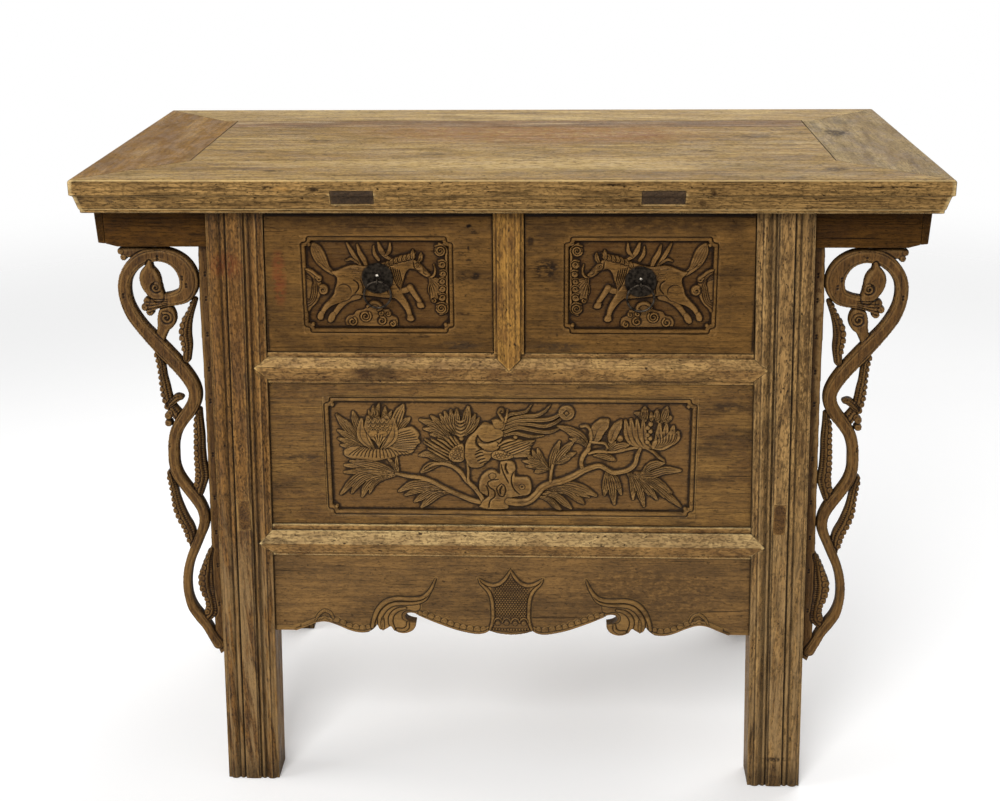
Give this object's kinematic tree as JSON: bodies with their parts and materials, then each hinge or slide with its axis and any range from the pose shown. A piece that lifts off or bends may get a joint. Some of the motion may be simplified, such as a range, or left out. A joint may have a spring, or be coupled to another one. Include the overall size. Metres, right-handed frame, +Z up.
{
  "type": "altar table",
  "caption": "Wooden altar coffer on splayed legs: drawers with ring pulls, a hidden compartment behind a carved front board, shaped apron and openwork scroll spandrels.",
  "frame": {"origin": "on the floor, under the centre of the top", "axes": "+Z up, +X to the right seen from the front, -Y towards the person who opens the drawers"},
  "size_m": [1.09, 0.545, 0.88],
  "materials": {
    "elm_top": "worn matt",
    "elm_frame": "worn satin",
    "elm_carved": "carved, waxed",
    "elm_inside": "planed, unfinished",
    "forged_iron": "hammered, dark"
  },
  "bodies": {
    "carcass": {"back_left_leg": "elm_frame", "back_left_overhang_apron": "elm_frame", "back_lower_panel": "elm_inside", "back_lower_rail": "elm_frame", "back_middle_rail": "elm_frame", "back_right_leg": "elm_frame", "back_right_overhang_apron": "elm_frame", "back_upper_panel": "elm_inside", "centre_drawer_runner": "elm_inside", "compartment_floor_back_board": "elm_inside", "compartment_floor_battens": "elm_inside", "compartment_floor_front_board": "elm_inside", "drawer_divider_post": "elm_frame", "front_apron": "elm_carved", "front_carved_panel": "elm_carved", "front_left_leg": "elm_frame", "front_left_overhang_apron": "elm_frame", "front_lower_rail": "elm_frame", "front_middle_rail": "elm_frame", "front_right_leg": "elm_frame", "front_right_overhang_apron": "elm_frame", "left_drawer_runner": "elm_inside", "left_end_board": "elm_frame", "left_side_lower_panel": "elm_frame", "left_side_lower_rail": "elm_frame", "left_side_middle_rail": "elm_frame", "left_side_top_rail": "elm_frame", "left_side_upper_panel": "elm_frame", "left_spandrel": "elm_carved", "right_drawer_runner": "elm_inside", "right_end_board": "elm_frame", "right_side_lower_panel": "elm_frame", "right_side_lower_rail": "elm_frame", "right_side_middle_rail": "elm_frame", "right_side_top_rail": "elm_frame", "right_side_upper_panel": "elm_frame", "right_spandrel": "elm_carved", "top_back_rail": "elm_top", "top_battens": "elm_inside", "top_front_rail": "elm_top", "top_left_end_rail": "elm_top", "top_panel_back_board": "elm_top", "top_panel_wide_board": "elm_top", "top_right_end_rail": "elm_top"},
    "left_drawer": {"left_drawer_back": "elm_inside", "left_drawer_bottom": "elm_inside", "left_drawer_front": "elm_carved", "left_drawer_inner_side": "elm_inside", "left_drawer_outer_side": "elm_inside", "left_pull_plate": "forged_iron", "left_pull_pin": "forged_iron"},
    "right_drawer": {"right_drawer_back": "elm_inside", "right_drawer_bottom": "elm_inside", "right_drawer_front": "elm_carved", "right_drawer_inner_side": "elm_inside", "right_drawer_outer_side": "elm_inside", "right_pull_plate": "forged_iron", "right_pull_pin": "forged_iron"},
    "left_ring": {"left_pull_ring": "forged_iron"},
    "right_ring": {"right_pull_ring": "forged_iron"}
  },
  "joints": [
    {"name": "left_drawer_slide", "type": "slide", "parent": "carcass", "child": "left_drawer", "axis": [0, -1, 0], "range_m": [0, 0.38]},
    {"name": "right_drawer_slide", "type": "slide", "parent": "carcass", "child": "right_drawer", "axis": [0, -1, 0], "range_m": [0, 0.38]},
    {"name": "left_ring_swing", "type": "hinge", "parent": "left_drawer", "child": "left_ring", "pos_m": [-0.16811, -0.238, 0.7416], "axis": [-1, 0, 0], "range_deg": [-5, 175]},
    {"name": "right_ring_swing", "type": "hinge", "parent": "right_drawer", "child": "right_ring", "pos_m": [0.16811, -0.238, 0.7379], "axis": [-1, 0, 0], "range_deg": [-5, 175]}
  ]
}
